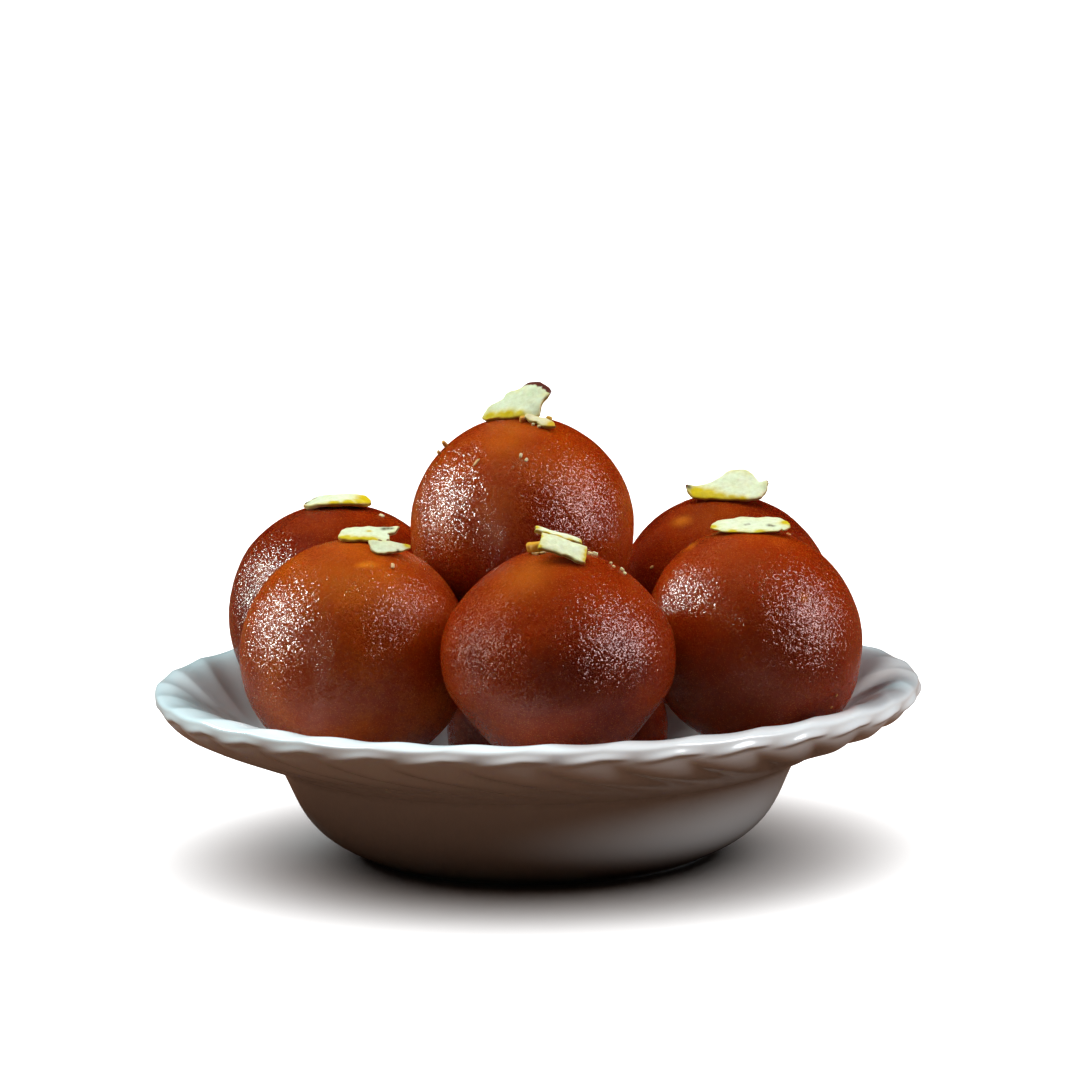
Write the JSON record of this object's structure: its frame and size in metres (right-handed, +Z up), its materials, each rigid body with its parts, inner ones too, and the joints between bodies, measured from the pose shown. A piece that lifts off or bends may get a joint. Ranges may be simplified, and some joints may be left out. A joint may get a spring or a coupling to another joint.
{
  "type": "bowl of gulab jamun",
  "caption": "Syrup-soaked fried dough balls heaped in a shallow round opal glass bowl with a fluted, flared rim, each topped with a slice of almond.",
  "frame": {"origin": "middle of the bowl's foot ring, on the plane it stands on", "axes": "+Z up, -Y towards the side the heap is seen from, +X to the right from there"},
  "size_m": [0.17, 0.17, 0.1061],
  "materials": {
    "opal_glass": "polished",
    "fried_dough": "gloss",
    "almond": "satin"
  },
  "bodies": {
    "root": {"bowl": "opal_glass", "ball_front": "fried_dough", "ball_front_left": "fried_dough", "ball_front_right": "fried_dough", "ball_back_left": "fried_dough", "ball_back_right": "fried_dough", "ball_back": "fried_dough", "ball_under": "fried_dough", "ball_top": "fried_dough", "almond_top": "almond", "almond_top_lower": "almond", "almond_back_left": "almond", "almond_front_left_upper": "almond", "almond_front_left_lower": "almond", "almond_front_slab": "almond", "almond_front_strip": "almond", "almond_back_right": "almond", "almond_front_right": "almond", "almond_back": "almond"}
  },
  "joints": []
}
